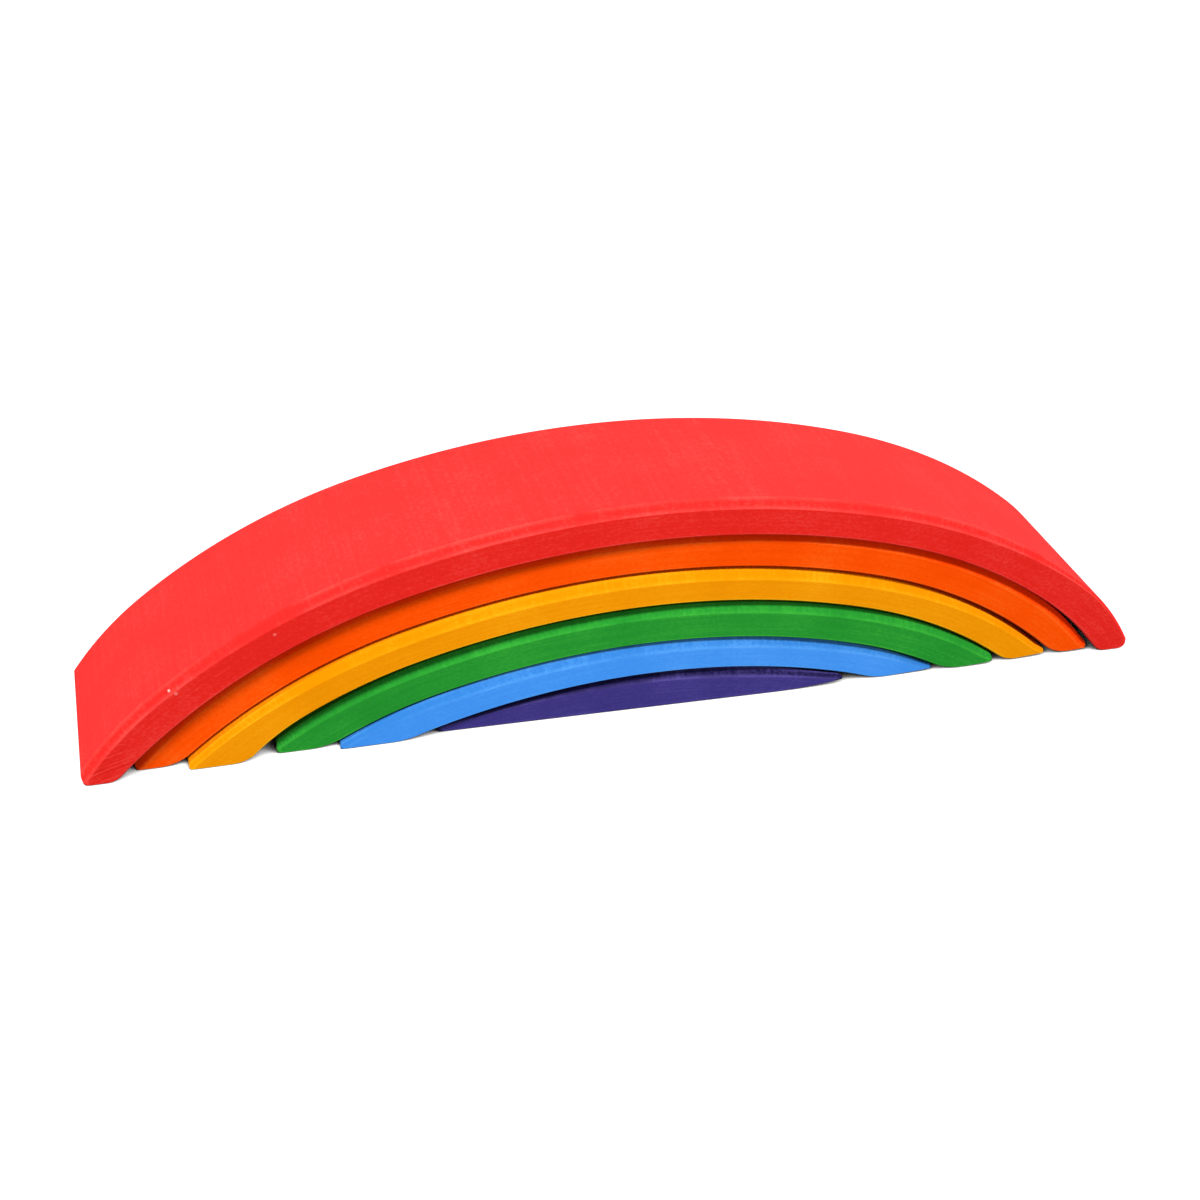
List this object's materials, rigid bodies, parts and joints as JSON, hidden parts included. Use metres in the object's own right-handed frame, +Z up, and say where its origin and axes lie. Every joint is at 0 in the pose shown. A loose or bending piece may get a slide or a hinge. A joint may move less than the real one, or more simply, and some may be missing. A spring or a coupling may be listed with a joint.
{
  "type": "rainbow stacker",
  "caption": "Low wooden rainbow stacker: bevelled coloured arches nest over a solid core, and each one lifts off to stack, balance or build with.",
  "frame": {"origin": "middle of the whole nested row, on the surface that it stands on", "axes": "+X along the row, -Y is the front that the red arch leads, +Z up through the crowns"},
  "size_m": [0.3776, 0.0668, 0.082],
  "materials": {
    "red_stain": "satin red wood stain over sanded wood",
    "orange_stain": "satin orange wood stain over sanded wood",
    "yellow_stain": "satin golden yellow wood stain over sanded wood",
    "green_stain": "satin green wood stain over sanded wood",
    "blue_stain": "satin light blue wood stain over sanded wood",
    "purple_stain": "satin violet wood stain over sanded wood"
  },
  "bodies": {
    "core": {"purple_core": "purple_stain"},
    "blue": {"blue_arch": "blue_stain"},
    "green": {"green_arch": "green_stain"},
    "yellow": {"yellow_arch": "yellow_stain"},
    "orange": {"orange_arch": "orange_stain"},
    "red": {"red_arch": "red_stain"}
  },
  "joints": [
    {"name": "blue_lift", "type": "slide", "parent": "core", "child": "blue", "axis": [0, 0, 1], "range_m": [0, 0.0155]},
    {"name": "green_lift", "type": "slide", "parent": "blue", "child": "green", "axis": [0, 0, 1], "range_m": [0, 0.0275]},
    {"name": "yellow_lift", "type": "slide", "parent": "green", "child": "yellow", "axis": [0, 0, 1], "range_m": [0, 0.0415]},
    {"name": "orange_lift", "type": "slide", "parent": "yellow", "child": "orange", "axis": [0, 0, 1], "range_m": [0, 0.0555]},
    {"name": "red_lift", "type": "slide", "parent": "orange", "child": "red", "axis": [0, 0, 1], "range_m": [0, 0.07]}
  ]
}
